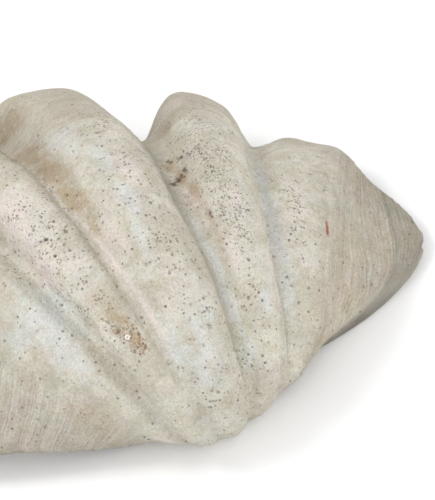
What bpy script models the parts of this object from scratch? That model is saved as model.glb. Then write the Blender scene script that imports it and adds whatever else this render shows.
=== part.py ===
"""Giant clam shell: one valve, lying on its rim with the hollow underneath.

The valve is made the way the animal grows it. The scalloped margin is a closed
line drawn in the plane where the two valves met. Going back in time, that line
shrinks towards the beak while it turns over the hinge axis, and the surface
that it sweeps is the outside of the shell, with its folds. The inside is a
second surface hung below the first at the shell's thickness, with a broad
hinge plate, and the two meet at the lip.

Metres, +Z up. X runs along the hinge, Y from the hinge to the scalloped edge.
The origin is at the centre of the valve's plan, on the surface it lies on.
"""

import math

import bmesh
import bpy
import numpy as np
from mathutils import Vector
from mathutils.bvhtree import BVHTree

# The margin: a line through these points, as seen from above with the beak at
# the centre. Bearing in degrees from the left end of the hinge line, reach in
# metres from the beak, rise in metres above the plane where the valves met.
# Kind is +1 on the crest of a fold, -1 in a groove, 0 on the smooth slopes and in
# the last groove, which is hardly deeper than they are.
MARGIN = (
    ("left hinge end", 17, 0.021, 0.000, 0),
    ("left dorsal edge", 8, 0.200, 0.000, 0),
    ("left tip", 11, 0.415, 0.025, 0),
    ("left slope", 27, 0.420, 0.025, 0),
    ("groove 0", 40, 0.430, -0.005, -1),
    ("fold 0", 51, 0.455, 0.045, 1),
    ("groove 0-1", 59.5, 0.468, -0.043, -1),
    ("fold 1", 67, 0.508, 0.066, 1),
    ("groove 1-2", 74.5, 0.522, -0.043, -1),
    ("fold 2", 86.5, 0.504, 0.057, 1),
    ("groove 2-3", 98, 0.435, -0.045, -1),
    ("fold 3", 109.5, 0.428, 0.060, 1),
    ("groove 3-4", 120, 0.400, -0.038, -1),
    ("fold 4", 131, 0.381, 0.025, 1),
    ("groove 4", 137.5, 0.379, 0.018, 0),
    ("right slope", 146.5, 0.357, 0.018, 0),
    ("right tip", 166, 0.332, 0.005, 0),
    ("right dorsal edge", 176, 0.200, 0.000, 0),
    ("right hinge end", 163, 0.021, 0.000, 0),
)
FIRST_GROOVE, LAST_GROOVE = 4, 14
FIRST_SLOPE, LAST_SLOPE = 3, 15
# How full each fold's left and right shoulders are: 1 is a plain wave, 2 is a
# broad back that drops steeply into its groove.
SHOULDERS = ((1.4, 1.8), (1.4, 2.8), (2.3, 2.4), (1.35, 2.8), (1.0, 1.5))

# The newest lip of fold 2 flares over the groove on its left
FLARE_PLACE, FLARE_SPREAD = 8.50, 0.42  # places along the margin, counted in named points
FLARE_FROM = 0.88  # share of full size
FLARE = (-0.020, 0.014, 0.0)

# Growth back towards the beak
COILING = 0.69  # how fast the shell shrinks for each radian it turns
BREADTH = 0.70  # under 1, so the young shell was broad for its size
BEAK = 0.20  # share of full size below which it narrows to the beak
BEAK_TURN = math.radians(180)
YOUNG_FOLD = 0.55  # how deep the folds are at the beak, against those at the lip
FOLDLESS = 0.15  # share of full size below which the folds get no shallower

# The last rest in growth, which left a step all along the outside
STEP_STAGE = 0.80  # share of full size
STEP_WIDTH = 0.018
STEP_HEIGHT = 0.006
STEP_IN_GROOVES = 0.3  # share of the height that is left between the folds

# Thickness
LIP = 0.014
LIP_ROUND = 0.004
WALL_AT_LIP = 0.012
WALL_DEEP = 0.026
THIN_BAND = 0.160  # from the lip to where the wall has its full thickness
THINNEST = 0.010
STEEPEST = 0.28  # upward share of the normal where the wall is hung steepest
FOLDED_BAND = (0.050, 0.170)  # from the lip, where the inside loses the folds
SMOOTH_INSET = 0.016
CREASE = 0.010
PLAN_CELL = 0.012
PLAN_BORDER = 0.048
FOLDED_BLUR, SMOOTH_BLUR = 2, 24
INSIDE_BLUR = 3
HOLLOW_CENTRE = (-0.020, 0.215)

# Hinge plate, a shelf along the inside of the dorsal edge
PLATE_DEPTH = 0.062
PLATE_RECESS = 0.008
PLATE_LIP = 0.016
PLATE_RISE = 0.090
PLATE_HALF_WIDTH = 0.270
TEETH = ((-0.020, 0.130, 0.030, 0.0065), (0.045, 0.170, 0.052, 0.0060))  # from x, to x, depth, height
TOOTH_WIDTH = 0.010

# How it lies: on its beak and on the tips of three grooves, each worn flat
REST_TILT = math.radians(5.8)
HINGE_HEIGHT = 0.0025  # hinge axis above the surface
FLOOR_CUTTER = (1.2, 1.2, 0.1)

# Facets
FACETS_ON_HINGE = 5
FACETS_ON_SLOPE = 5
FACETS_ON_FOLD = 7
LIP_ROWS = (1.0, 0.972, 0.935, 0.895, 0.850, STEP_STAGE + STEP_WIDTH / 2, STEP_STAGE - STEP_WIDTH / 2)
OLDER_ROWS = 23
INNER_RINGS = (0.0, 0.02, 0.05, 0.10, 0.16, 0.23, 0.31, 0.40, 0.50, 0.62, 0.78)

SHELL_COLOUR = (0.70, 0.66, 0.58, 1.0)
SHELL_ROUGHNESS = 0.8


def clear_scene():
    for found in list(bpy.data.objects):
        bpy.data.objects.remove(found, do_unlink=True)


def collection(name):
    made = bpy.data.collections.new(name)
    bpy.context.scene.collection.children.link(made)
    return made


def shell_material():
    material = bpy.data.materials.new("weathered shell")
    material.use_nodes = True
    shader = material.node_tree.nodes["Principled BSDF"]
    shader.inputs["Base Color"].default_value = SHELL_COLOUR
    shader.inputs["Roughness"].default_value = SHELL_ROUGHNESS
    shader.inputs["Metallic"].default_value = 0.0
    return material


def smoothstep(low, high, value):
    share = np.clip((value - low) / (high - low), 0.0, 1.0)
    return share * share * (3 - 2 * share)


def through(values, stations):
    """A smooth curve through values, read at stations counted from the first."""
    padded = np.concatenate([[2 * values[0] - values[1]], values, [2 * values[-1] - values[-2]]])
    first = np.clip(np.floor(stations).astype(int), 0, len(values) - 2)
    t = (stations - first)[:, None]
    before, here, after, beyond = (padded[first + step] for step in range(4))
    return 0.5 * (
        2 * here
        + (after - before) * t
        + (2 * before - 5 * here + 4 * after - beyond) * t**2
        + (3 * here - before - 3 * after + beyond) * t**3
    )


def margin_stations():
    """Where the margin has its points, as places between the named ones."""
    stations = []
    for span in range(len(MARGIN) - 1):
        facets = FACETS_ON_SLOPE
        if span in (0, len(MARGIN) - 2):
            facets = FACETS_ON_HINGE
        elif FIRST_GROOVE <= span < LAST_GROOVE:
            facets = FACETS_ON_FOLD
        stations += [span + step / facets for step in range(facets)]
    return np.array(stations + [len(MARGIN) - 1.0])


def fold_wave(stations):
    """+1 on each crest and -1 in each groove, full on the shoulders and narrow in the grooves."""
    inside = (stations > FIRST_GROOVE) & (stations < LAST_GROOVE)
    fold = np.clip((stations - FIRST_GROOVE) // 2, 0, len(SHOULDERS) - 1).astype(int)
    phase = stations - (FIRST_GROOVE + 1 + 2 * fold)
    left, right = np.array(SHOULDERS)[fold].T
    wave = np.cos(math.pi * np.clip(abs(phase), 0, 1) ** np.where(phase > 0, right, left))
    return np.where(inside, wave, -1.0)


def margin_lines(stations):
    """The margin as a line without folds, and the folds that are laid on it."""
    bearing = np.radians([point[1] for point in MARGIN])
    reach = np.array([point[2] for point in MARGIN])
    rise = np.array([point[3] for point in MARGIN])
    kind = np.array([point[4] for point in MARGIN], float)
    named = np.stack([-reach * np.cos(bearing), reach * np.sin(bearing), rise], axis=1)
    unfolded = named.copy()
    unfolded[1:-1] = 0.25 * named[:-2] + 0.5 * named[1:-1] + 0.25 * named[2:]
    unfolded[kind == 0] = named[kind == 0]
    fold = (named - unfolded) * kind[:, None]
    return through(unfolded, stations), through(fold, stations) * fold_wave(stations)[:, None]


def grow(stations, sizes):
    """The outside of the shell: a row of margins, each at its share of full size."""
    unfolded, fold = margin_lines(stations)
    turn = -np.log(sizes) / COILING
    depth = YOUNG_FOLD + (1 - YOUNG_FOLD) * np.clip((sizes - FOLDLESS) / (1 - FOLDLESS), 0, 1) ** 0.8
    flare = np.exp(-(((stations - FLARE_PLACE) / FLARE_SPREAD) ** 2))
    flare = smoothstep(FLARE_FROM, 1, sizes)[:, None, None] * flare[None, :, None] * np.array(FLARE)
    x, y, z = np.moveaxis(unfolded[None] + depth[:, None, None] * fold[None] + flare, 2, 0)
    size, cos, sin = sizes[:, None], np.cos(turn)[:, None], np.sin(turn)[:, None]
    broad = size**BREADTH * np.sqrt(smoothstep(0, BEAK, size))
    return np.stack([x * broad, (y * cos - z * sin) * size, (y * sin + z * cos) * size], axis=2)


def outward(rows):
    """Unit normals of a grid of rows, pointing out of the shell."""
    along = np.gradient(rows, axis=1)
    back = np.gradient(rows, axis=0)
    normal = np.cross(along, back)
    length = np.linalg.norm(normal, axis=2, keepdims=True)
    return -normal / np.maximum(length, 1e-9)


def growth_step(rows, stations, sizes):
    """The lip stands lower than the shell behind the last rest in growth."""
    half = STEP_WIDTH / 2
    lower = STEP_HEIGHT * smoothstep(STEP_STAGE - half, STEP_STAGE + half, sizes)
    on_folds = STEP_IN_GROOVES + (1 - STEP_IN_GROOVES) * smoothstep(-1, 0, fold_wave(stations))
    on_folds = np.where((stations > FIRST_SLOPE) & (stations < LAST_SLOPE), on_folds, 0.0)
    return rows - outward(rows) * (lower[:, None] * on_folds[None])[..., None]


def lay_down(points):
    """From the frame of growth to the frame in which the valve lies on its rim."""
    x, y, z = np.moveaxis(points, -1, 0)
    cos, sin = math.cos(REST_TILT), math.sin(REST_TILT)
    return np.stack([x, y * cos - z * sin, y * sin + z * cos + HINGE_HEIGHT], axis=-1)


def blurred(heights, known, passes):
    """The heights softened over their neighbours, leaving out cells with no shell over them."""
    total, weight = np.where(known, heights, 0.0), known.astype(float)
    for _ in range(passes):
        for axis in (0, 1):
            total, weight = (
                0.25 * np.roll(grid, 1, axis) + 0.5 * grid + 0.25 * np.roll(grid, -1, axis)
                for grid in (total, weight)
            )
    return total / np.maximum(weight, 1e-6)


def read_grid(grid, low, plan):
    """Values of a square grid of the plan at any places between its points."""
    place = (plan - low) / PLAN_CELL
    cell = np.clip(np.floor(place).astype(int), 0, np.array(grid.shape) - 2)
    i, j = cell[..., 0], cell[..., 1]
    s, t = np.moveaxis(place - cell, -1, 0)
    near = grid[i, j] * (1 - t) + grid[i, j + 1] * t
    far = grid[i + 1, j] * (1 - t) + grid[i + 1, j + 1] * t
    return near * (1 - s) + far * s


def height_over(outside, x, y):
    place, _, _, _ = outside.ray_cast(Vector((x, y, 1)), Vector((0, 0, -1)))
    return place.z if place else None


def dome(rim, outside):
    """Readers for the outside's height with its folds softened, and for its steepness there."""
    low = rim[:, :2].min(axis=0) - PLAN_BORDER
    high = rim[:, :2].max(axis=0) + PLAN_BORDER
    cells = np.ceil((high - low) / PLAN_CELL).astype(int) + 1
    heights, known = np.zeros(cells), np.zeros(cells, bool)
    for cell in np.ndindex(*cells):
        height = height_over(outside, *(low + PLAN_CELL * np.array(cell)))
        known[cell] = height is not None
        heights[cell] = height or 0.0
    readers = []
    for passes in (FOLDED_BLUR, SMOOTH_BLUR):
        soft = blurred(heights, known, passes)
        slope = np.hypot(*np.gradient(soft, PLAN_CELL))
        readers.append((soft, 1 / np.hypot(1, slope)))
    return low, readers


def soft_lower(first, second):
    """The lower of two heights, with the crease between them rounded."""
    gap = np.clip(0.5 + 0.5 * (second - first) / CREASE, 0, 1)
    return second * (1 - gap) + first * gap - CREASE * gap * (1 - gap)


def hang_inside(rim, outside):
    """The inside of the shell, as rings from the rim to the middle of the hollow."""
    centre = np.array(HOLLOW_CENTRE)
    inward = centre - rim[:, :2]
    reach = np.linalg.norm(inward, axis=1)
    inward = inward / reach[:, None]
    ring_reach = (reach - LIP)[None] * np.array(INNER_RINGS)[:, None] + LIP
    plan = rim[None, :, :2] + inward[None] * ring_reach[..., None]
    plan = np.concatenate([plan, np.broadcast_to(centre, (1, len(rim), 2))])
    ring_reach = np.concatenate([ring_reach, reach[None]])

    low, ((_, folded_up), (smooth, smooth_up)) = dome(rim, outside)
    above = np.array([[height_over(outside, x, y) or 0.0 for x, y in ring] for ring in plan])
    beside = np.minimum(above, np.minimum(np.roll(above, 1, 1), np.roll(above, -1, 1)))
    above = np.minimum(above, 0.5 * beside + 0.25 * (np.roll(beside, 1, 1) + np.roll(beside, -1, 1)))
    wall = WALL_AT_LIP + (WALL_DEEP - WALL_AT_LIP) * smoothstep(0, THIN_BAND, ring_reach)
    folded = above - wall / np.maximum(read_grid(folded_up, low, plan), STEEPEST)
    unfolded = read_grid(smooth, low, plan) - wall / np.maximum(read_grid(smooth_up, low, plan), STEEPEST)
    unfolded = unfolded - SMOOTH_INSET
    loses_folds = smoothstep(*FOLDED_BAND, ring_reach)
    under = soft_lower(folded + (unfolded - folded) * loses_folds, above - THINNEST)
    for _ in range(INSIDE_BLUR):
        under = 0.5 * under + 0.25 * (np.roll(under, 1, 1) + np.roll(under, -1, 1))
    under[1:-1] = 0.25 * under[:-2] + 0.5 * under[1:-1] + 0.25 * under[2:]
    under = np.minimum(under, above - THINNEST)

    at_hinge = 1 - smoothstep(0.5 * PLATE_HALF_WIDTH, PLATE_HALF_WIDTH, abs(rim[:, 0]))
    at_hinge = at_hinge * (rim[:, 1] < HOLLOW_CENTRE[1])
    plate = LIP + (PLATE_DEPTH - LIP) * at_hinge
    rise = LIP + (PLATE_RISE - LIP) * at_hinge
    shelf = rim[None, :, 2] + PLATE_RECESS * at_hinge * smoothstep(LIP, LIP + PLATE_LIP, ring_reach)
    for start, end, depth, height in TEETH:
        along = smoothstep(start, start + 0.02, plan[..., 0]) - smoothstep(end - 0.02, end, plan[..., 0])
        across = np.exp(-(((plan[..., 1] - rim[None, :, 1] - depth) / TOOTH_WIDTH) ** 2))
        shelf = shelf - height * along * across * at_hinge
    inside = shelf + (under - shelf) * smoothstep(plate, plate + rise, ring_reach)
    middle = Vector((centre[0], centre[1], float(inside[-1].mean())))
    return np.concatenate([plan, inside[..., None]], axis=2)[:-1], middle


def band(faces, first, second, count):
    """Faces between two closed rings of points, given where each ring starts."""
    for step in range(count):
        ahead = (step + 1) % count
        faces.append((first + step, first + ahead, second + ahead, second + step))


def fan(faces, ring, tip, count):
    for step in range(count):
        faces.append((ring + step, ring + (step + 1) % count, tip))


def valve_mesh():
    stations = margin_stations()
    count = len(stations)
    older = np.linspace(LIP_ROWS[-1], math.exp(-COILING * BEAK_TURN), OLDER_ROWS + 1)[1:]
    sizes = np.concatenate([LIP_ROWS, older])
    last_row = len(sizes) - 1
    rows = lay_down(growth_step(grow(stations, sizes), stations, sizes))

    outer_faces = []
    for row in range(last_row):
        band(outer_faces, row * count, (row + 1) * count, count)
    outer_points = rows.reshape(-1, 3)
    outside = BVHTree.FromPolygons([Vector(point) for point in outer_points], outer_faces)

    rim = rows[0]
    rings, middle = hang_inside(rim, outside)
    lip_edge = 0.5 * (rim + rings[0])
    lip_edge[:, 2] -= LIP_ROUND

    points = [tuple(point) for point in outer_points]
    faces = list(outer_faces)
    points.append(tuple(rows[-1].mean(axis=0)))
    fan(faces, last_row * count, len(points) - 1, count)
    previous = 0
    for ring in [lip_edge, *rings]:
        start = len(points)
        points += [tuple(point) for point in ring]
        band(faces, previous, start, count)
        previous = start
    points.append(tuple(middle))
    fan(faces, previous, len(points) - 1, count)

    lowest = np.min(points, axis=0)
    highest = np.max(points, axis=0)
    centre = 0.5 * (lowest + highest)
    points = [(x - centre[0], y - centre[1], z) for x, y, z in points]

    mesh = bpy.data.meshes.new("clam_valve")
    mesh.from_pydata(points, [], faces)
    work = bmesh.new()
    work.from_mesh(mesh)
    bmesh.ops.triangulate(work, faces=work.faces)
    bmesh.ops.recalc_face_normals(work, faces=work.faces)
    work.to_mesh(mesh)
    work.free()
    mesh.shade_smooth()
    return mesh


def floor_cutter(cutters):
    """A slab under the surface that the valve lies on. It wears the tips flat."""
    bpy.ops.mesh.primitive_cube_add(size=1, location=(0, 0, -FLOOR_CUTTER[2] / 2))
    cutter = bpy.context.object
    cutter.name = "worn_flat_cutter"
    cutter.scale = FLOOR_CUTTER
    bpy.ops.object.transform_apply(location=True, rotation=False, scale=True)
    cutter.display_type = "WIRE"
    cutter.hide_render = True
    for owner in list(cutter.users_collection):
        owner.objects.unlink(cutter)
    cutters.objects.link(cutter)
    return cutter


clear_scene()
shell = collection("giant_clam_shell")
cutters = collection("cutters")
valve = bpy.data.objects.new("clam_valve", valve_mesh())
valve.data.materials.append(shell_material())
shell.objects.link(valve)
wear = valve.modifiers.new("worn flats", "BOOLEAN")
wear.operation = "DIFFERENCE"
wear.solver = "EXACT"
wear.object = floor_cutter(cutters)
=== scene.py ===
"""Giant clam shell: one weathered valve lying on its rim, with its hollow underneath."""

import math

import bpy
import numpy as np
from mathutils import Matrix, Vector
from mathutils.bvhtree import BVHTree


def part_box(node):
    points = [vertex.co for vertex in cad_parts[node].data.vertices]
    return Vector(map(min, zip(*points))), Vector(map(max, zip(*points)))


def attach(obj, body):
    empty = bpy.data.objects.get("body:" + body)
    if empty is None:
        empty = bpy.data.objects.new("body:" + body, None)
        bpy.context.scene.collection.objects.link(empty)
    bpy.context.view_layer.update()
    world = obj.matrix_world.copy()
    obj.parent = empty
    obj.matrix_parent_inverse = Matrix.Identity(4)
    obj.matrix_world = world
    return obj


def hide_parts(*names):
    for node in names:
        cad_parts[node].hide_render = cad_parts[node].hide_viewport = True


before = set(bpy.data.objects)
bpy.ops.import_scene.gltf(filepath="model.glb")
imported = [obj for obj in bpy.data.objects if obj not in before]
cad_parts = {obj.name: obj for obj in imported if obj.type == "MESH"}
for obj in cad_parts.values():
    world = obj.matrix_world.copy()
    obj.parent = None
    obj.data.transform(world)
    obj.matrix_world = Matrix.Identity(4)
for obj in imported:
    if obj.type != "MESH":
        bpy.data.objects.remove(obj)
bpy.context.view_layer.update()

# The valve.
# One half of a giant clam's shell, grown by the animal in thin layers of chalky
# lime at the scalloped margin. It lies loose, on its beak and three groove tips.

# Named points of the margin: bearing in degrees round the beak, reach and rise in
# metres, and +1 on the crest of a fold, -1 in a groove, 0 on the smooth slopes.
MARGIN = (
    (17, 0.021, 0.000, 0),
    (8, 0.200, 0.000, 0),
    (11, 0.415, 0.025, 0),
    (27, 0.420, 0.025, 0),
    (40, 0.430, -0.005, -1),
    (51, 0.455, 0.045, 1),
    (59.5, 0.468, -0.043, -1),
    (67, 0.508, 0.066, 1),
    (74.5, 0.522, -0.043, -1),
    (86.5, 0.504, 0.057, 1),
    (98, 0.435, -0.045, -1),
    (109.5, 0.428, 0.060, 1),
    (120, 0.400, -0.038, -1),
    (131, 0.381, 0.025, 1),
    (137.5, 0.381, 0.024, 0),
    (146.5, 0.357, 0.018, 0),
    (166, 0.332, 0.005, 0),
    (176, 0.200, 0.000, 0),
    (163, 0.021, 0.000, 0),
)
FIRST_GROOVE, LAST_GROOVE = 4, 14
# How full each fold's left and right shoulders are, in the older shell and at the lip:
# 1 is a plain wave, and more is a broad back that drops steeply into its groove
SHOULDERS = ((1.4, 1.8), (1.4, 2.8), (2.3, 3.0), (1.35, 3.3), (1.0, 1.5))
LIP_SHOULDERS = ((1.4, 1.8), (1.4, 2.8), (2.2, 2.3), (1.55, 4.0), (1.0, 1.5))
LIP_SHOULDERS_FROM, LIP_SHOULDERS_FULL = 0.74, 0.94  # shares of full size
# The newest lip of fold 2 flares over the groove on its left
FLARE_PLACE, FLARE_SPREAD, FLARE_FROM = 8.50, 0.42, 0.88
FLARE = (-0.027, 0.013, 0.0)
COILING = 0.69  # how fast the shell shrinks for each radian it turns
BREADTH = 0.70  # under 1, so the young shell was broad for its size
BEAK = 0.20  # share of full size below which it narrows to the beak
BEAK_TURN = math.radians(180)
YOUNG_FOLD = 0.55  # how deep the folds are at the beak, against those at the lip
FOLDLESS = 0.15  # share of full size below which the folds get no shallower
REST_TILT = math.radians(5.8)
HINGE_HEIGHT = 0.0025
CREST_LENGTH = 0.88  # metres along a crest for a whole share of size

TRIAL_PLACES = 6000
PLACES = 400
ROWS = 204
INNER_ROWS = 40
# How close the points are along the margin: place, and how many against the folds' backs
PACE = (
    (0, 0.40),
    (2.0, 0.40),
    (2.8, 0.70),
    (6.0, 0.95),
    (9.70, 1.0),
    (9.80, 2.0),
    (10.12, 2.0),
    (10.25, 1.0),
    (11.6, 1.0),
    (11.7, 1.6),
    (12.4, 1.6),
    (12.5, 1.0),
    (13.6, 1.0),
    (13.9, 1.5),
    (16.0, 1.4),
    (16.6, 0.5),
    (18.0, 0.40),
)


def smoothstep(low, high, value):
    share = np.clip((value - low) / (high - low), 0.0, 1.0)
    return share * share * (3 - 2 * share)


def through(values, places):
    """A smooth curve through values, read at places counted from the first."""
    padded = np.concatenate([[2 * values[0] - values[1]], values, [2 * values[-1] - values[-2]]])
    first = np.clip(np.floor(places).astype(int), 0, len(values) - 2)
    t = (places - first)[:, None]
    before, here, after, beyond = (padded[first + step] for step in range(4))
    return 0.5 * (
        2 * here
        + (after - before) * t
        + (2 * before - 5 * here + 4 * after - beyond) * t**2
        + (3 * here - before - 3 * after + beyond) * t**3
    )


def fold_wave(places, shoulders):
    inside = (places > FIRST_GROOVE) & (places < LAST_GROOVE)
    fold = np.clip((places - FIRST_GROOVE) // 2, 0, len(SHOULDERS) - 1).astype(int)
    phase = places - (FIRST_GROOVE + 1 + 2 * fold)
    left, right = np.array(shoulders)[fold].T
    wave = np.cos(math.pi * np.clip(abs(phase), 0, 1) ** np.where(phase > 0, right, left))
    return np.where(inside, wave, -1.0)


def margin_lines(places):
    """The margin as a line without folds, and the folds that are laid on it."""
    bearing, reach, rise, kind = np.array(MARGIN, float).T
    bearing = np.radians(bearing)
    named = np.stack([-reach * np.cos(bearing), reach * np.sin(bearing), rise], axis=1)
    unfolded = named.copy()
    unfolded[1:-1] = 0.25 * named[:-2] + 0.5 * named[1:-1] + 0.25 * named[2:]
    unfolded[kind == 0] = named[kind == 0]
    fold = (named - unfolded) * kind[:, None]
    return through(unfolded, places), through(fold, places)


def grow(places, sizes):
    """The outside of the shell: a row of margins, each at its share of full size."""
    unfolded, fold = margin_lines(places)
    turn = -np.log(sizes) / COILING
    depth = YOUNG_FOLD + (1 - YOUNG_FOLD) * np.clip((sizes - FOLDLESS) / (1 - FOLDLESS), 0, 1) ** 0.8
    flare = np.exp(-(((places - FLARE_PLACE) / FLARE_SPREAD) ** 2))
    flare = smoothstep(FLARE_FROM, 1, sizes)[:, None, None] * flare[None, :, None] * np.array(FLARE)
    at_lip = smoothstep(LIP_SHOULDERS_FROM, LIP_SHOULDERS_FULL, sizes)[:, None]
    wave = fold_wave(places, SHOULDERS) * (1 - at_lip) + fold_wave(places, LIP_SHOULDERS) * at_lip
    fold = (depth[:, None] * wave)[..., None] * fold[None]
    x, y, z = np.moveaxis(unfolded[None] + fold + flare, 2, 0)
    size, cos, sin = sizes[:, None], np.cos(turn)[:, None], np.sin(turn)[:, None]
    broad = size**BREADTH * np.sqrt(smoothstep(0, BEAK, size))
    return np.stack([x * broad, (y * cos - z * sin) * size, (y * sin + z * cos) * size], axis=2)


def lay_down(points):
    x, y, z = np.moveaxis(points, -1, 0)
    cos, sin = math.cos(REST_TILT), math.sin(REST_TILT)
    return np.stack([x, y * cos - z * sin, y * sin + z * cos + HINGE_HEIGHT], axis=-1)


def outward(rows):
    """Unit normals of a grid of rows, pointing out of the shell."""
    along = np.gradient(rows, axis=1)
    back = np.gradient(rows, axis=0)
    normal = np.cross(along, back)
    return -normal / np.maximum(np.linalg.norm(normal, axis=2, keepdims=True), 1e-9)


def even_places():
    """Places along the margin, spaced by its length at the pace of each stretch."""
    fine = np.linspace(0, len(MARGIN) - 1, TRIAL_PLACES)
    line = grow(fine, np.array([1.0]))[0]
    length = np.linalg.norm(np.diff(line, axis=0), axis=1)
    middle = 0.5 * (fine[1:] + fine[:-1])
    length *= np.interp(middle, *np.array(PACE).T)
    run = np.concatenate([[0], np.cumsum(length)])
    return np.interp(np.linspace(0, run[-1], PLACES), run, fine)


NOISE_CELLS = 32
NOISE_SEED = 11
lattice = np.random.default_rng(NOISE_SEED).random((NOISE_CELLS,) * 3)


def soft_noise(points, grain, shift=0.0):
    """Smooth noise from -1 to 1 with lumps about a grain wide."""
    place = points / grain + shift
    cell = np.floor(place).astype(int)
    t = place - cell
    t = t * t * (3 - 2 * t)
    value = 0.0
    for corner in np.ndindex(2, 2, 2):
        i, j, k = (np.moveaxis(cell, -1, 0)[axis] + corner[axis] for axis in range(3))
        weight = 1.0
        for axis in range(3):
            weight = weight * (t[..., axis] if corner[axis] else 1 - t[..., axis])
        value = value + weight * lattice[i % NOISE_CELLS, j % NOISE_CELLS, k % NOISE_CELLS]
    return 2 * value - 1


def patches(marks):
    """How much of a marking lies at each point: place, size, their spreads and strength."""
    total = np.zeros(place_grid.shape)
    for place, size, place_spread, size_spread, strength in marks:
        away = ((place_grid - place) / place_spread) ** 2 + ((size_grid - size) / size_spread) ** 2
        total = np.maximum(total, strength * np.exp(-away))
    return total


places = even_places()
sizes = np.linspace(1.0, math.exp(-COILING * BEAK_TURN), ROWS)
place_grid, size_grid = np.meshgrid(places, sizes)
smooth_rows = lay_down(grow(places, sizes))
normals = outward(smooth_rows)

# The growth lines follow the margin on the left and on the folds. On the right
# slope they close in towards the folds, so each one ends nearer the beak.
CLOSING, CLOSING_FROM, CLOSING_TO = 0.265, 14.0, 16.2
left_to_close = CLOSING_TO - np.clip(place_grid, CLOSING_FROM, CLOSING_TO)
closing = (CLOSING_TO - CLOSING_FROM) ** 2 - left_to_close**2
stage_grid = size_grid + CLOSING * closing
growth = size_grid * CREST_LENGTH

# Across the right slope, the same lines told in metres at three quarters of full size
MEASURED_AT = 0.75
YOUNGEST_PACE = 0.04  # metres for a whole share of size, past the folds' end of the slope
middle_row = np.argmin(abs(sizes - MEASURED_AT))
across = (places >= CLOSING_FROM) & (places <= CLOSING_TO)
line = smooth_rows[middle_row, across]
run = np.concatenate([[0], np.cumsum(np.linalg.norm(np.diff(line, axis=0), axis=1))])
stages = stage_grid[middle_row, across]
youngest, newest = stage_grid.min(), stage_grid.max()
knots = np.concatenate([[youngest], stages, [newest]])
before_slope = (youngest - stages[0]) * YOUNGEST_PACE
past_slope = run[-1] + (newest - stages[-1]) * CREST_LENGTH
metres = np.concatenate([[before_slope], run, [past_slope]])
side_growth = np.interp(stage_grid, knots, metres)
PLACE_WAVER = 0.25
SIDE_STARTS = (13.75, 14.55)  # where the lines turn, from place, to place
wavering = place_grid + PLACE_WAVER * soft_noise(smooth_rows, 0.030, 2.7)
on_side = smoothstep(*SIDE_STARTS, wavering)

# Relief of the outside. An old margin, told by place and share of size, shows as a
# step on every fold, with fresh, finely lined shell beyond it. Growth ledges cross
# the slopes and the folds.
OLD_MARGIN = (
    (3.0, 0.80),
    (6.0, 0.80),
    (7.0, 0.78),
    (7.36, 0.756),
    (7.84, 0.717),
    (8.0, 0.660),
    (8.28, 0.600),
    (8.50, 0.696),
    (8.90, 0.720),
    (9.30, 0.756),
    (9.60, 0.800),
    (10.35, 0.792),
    (10.68, 0.800),
    (11.22, 0.856),
    (12.0, 0.900),
    (14.0, 0.900),
)
OLD_MARGIN_HEIGHT = 0.0028
OLD_MARGIN_WIDTH = 0.020  # share of full size
FOLDS_START, FOLDS_END = (1.8, 4.0), (12.4, 14.0)
old_margin = np.interp(place_grid, *np.array(OLD_MARGIN).T)
old_margin = old_margin + 0.006 * soft_noise(smooth_rows, 0.022, 3.1)
fresh = smoothstep(-OLD_MARGIN_WIDTH, OLD_MARGIN_WIDTH, size_grid - old_margin)
past_margin = size_grid - old_margin + 0.035 * soft_noise(smooth_rows, 0.026, 6.6)
fresh_tone = smoothstep(-0.055, 0.050, past_margin)
on_folds = smoothstep(*FOLDS_START, place_grid) * (1 - smoothstep(*FOLDS_END, place_grid))

LEDGE_HEIGHT = 0.0015
LEDGE_SEED = 5
ledge_rng = np.random.default_rng(LEDGE_SEED)


def ledges(run_grid, gap, reach, wander):
    """Worn edges of old growth layers: each is sharp in front and runs out behind."""
    total = np.zeros(run_grid.shape)
    front = run_grid.min()
    while front < run_grid.max():
        front += gap * ledge_rng.uniform(0.45, 1.35)
        behind = front + wander * soft_noise(smooth_rows, 0.045, 7.3 + 40 * front) - run_grid
        height = ledge_rng.uniform(0.3, 1.2)
        total += height * smoothstep(-0.0035, 0.0, behind) * np.exp(-np.clip(behind, 0, 1) / reach)
    return total


LEFT_SLOPE_ENDS, RIGHT_SLOPE_STARTS = (2.5, 4.8), (12.9, 14.9)
LEFT_LINES = 0.85  # how strong the lines are on the left slope, against the right one
SIDE_LEDGES = 0.7
ledge = ledges(growth, gap=0.036, reach=0.026, wander=0.008)
side_ledge = SIDE_LEDGES * ledges(side_growth, gap=0.016, reach=0.012, wander=0.005)
ledge += (side_ledge - ledge) * on_side
slopes = LEFT_LINES * (1 - smoothstep(*LEFT_SLOPE_ENDS, wavering))
slopes = slopes + smoothstep(*RIGHT_SLOPE_STARTS, wavering)
ledge = ledge * (0.20 + 0.80 * slopes + 0.15 * fresh)

young = 1 - smoothstep(0.20, 0.36, size_grid)
lumps = 0.6 * soft_noise(smooth_rows, 0.060, 1.7) + 0.4 * soft_noise(smooth_rows, 0.024, 5.2)
small_lumps = soft_noise(smooth_rows, 0.011, 9.4)
LUMP_HEIGHT, SMALL_LUMP_HEIGHT = 0.0024, 0.0009
relief = -OLD_MARGIN_HEIGHT * fresh * on_folds
relief += LEDGE_HEIGHT * ledge
relief += LUMP_HEIGHT * lumps * (1 - 0.5 * fresh)
relief += SMALL_LUMP_HEIGHT * small_lumps * (1 - 0.6 * fresh)

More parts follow.
